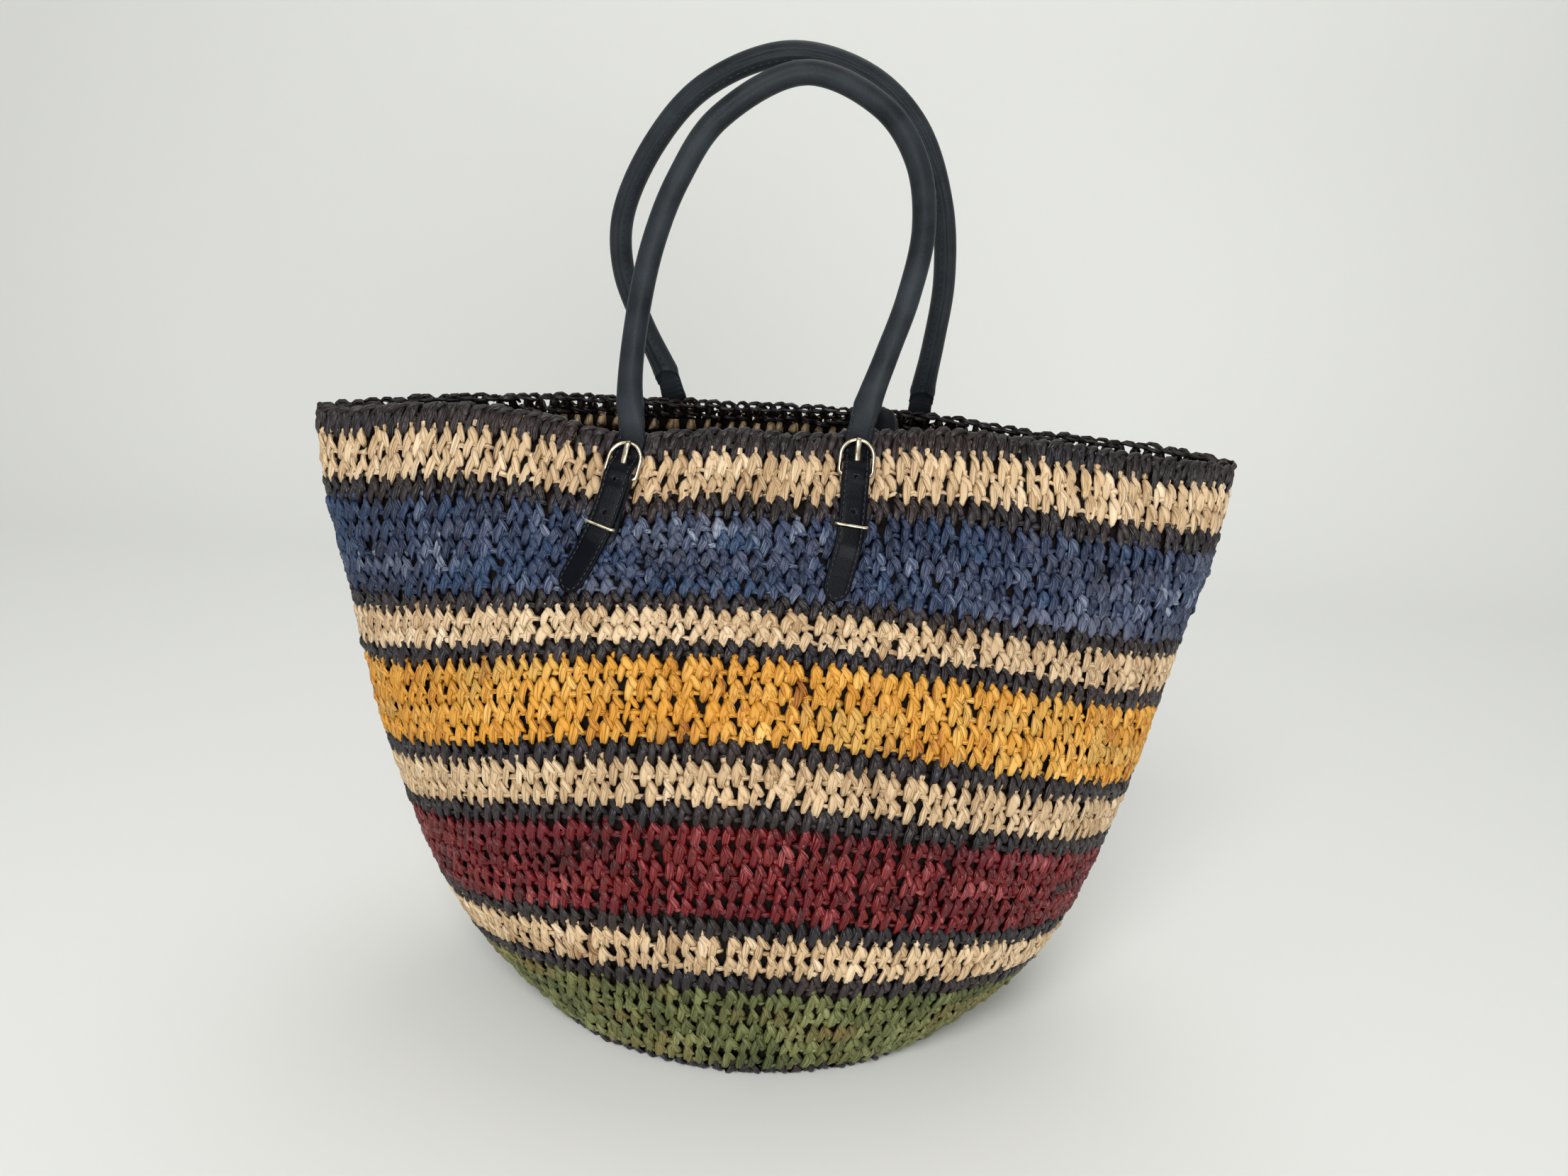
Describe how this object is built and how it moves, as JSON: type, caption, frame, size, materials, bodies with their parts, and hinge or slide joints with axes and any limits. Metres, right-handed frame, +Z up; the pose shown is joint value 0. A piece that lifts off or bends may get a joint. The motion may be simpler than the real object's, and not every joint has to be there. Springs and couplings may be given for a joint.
{
  "type": "straw basket bag",
  "caption": "Crocheted raffia basket bag with coloured stripes, a pinched oval mouth and rolled leather handles buckled to tabs on both walls.",
  "frame": {"origin": "middle of the base, on the surface that the bag stands on", "axes": "+X across the bag to the right seen from the front, -Y towards the front, +Z up"},
  "size_m": [0.366, 0.174, 0.3964],
  "materials": {
    "raffia_dark": "satin",
    "raffia_natural": "satin",
    "raffia_blue": "satin",
    "raffia_yellow": "satin",
    "raffia_red": "satin",
    "raffia_green": "satin",
    "leather": "satin",
    "metal": "polished"
  },
  "bodies": {
    "root": {"base_disc": "raffia_dark", "dark_line_1": "raffia_dark", "green_band": "raffia_green", "dark_line_2": "raffia_dark", "natural_band_1": "raffia_natural", "dark_line_3": "raffia_dark", "red_band": "raffia_red", "dark_line_4": "raffia_dark", "natural_band_2": "raffia_natural", "dark_line_5": "raffia_dark", "yellow_band": "raffia_yellow", "dark_line_6": "raffia_dark", "natural_band_3": "raffia_natural", "dark_line_7": "raffia_dark", "blue_band": "raffia_blue", "dark_line_8": "raffia_dark", "natural_band_4": "raffia_natural", "rim_round": "raffia_dark", "rim_chain": "raffia_dark", "front_handle": "leather", "back_handle": "leather", "front_left_tab": "leather", "front_left_buckle": "metal", "front_left_prong": "metal", "front_left_keeper": "metal", "front_right_tab": "leather", "front_right_buckle": "metal", "front_right_prong": "metal", "front_right_keeper": "metal", "back_left_tab": "leather", "back_left_buckle": "metal", "back_left_prong": "metal", "back_left_keeper": "metal", "back_right_tab": "leather", "back_right_buckle": "metal", "back_right_prong": "metal", "back_right_keeper": "metal", "inner_tab": "leather"}
  },
  "joints": []
}
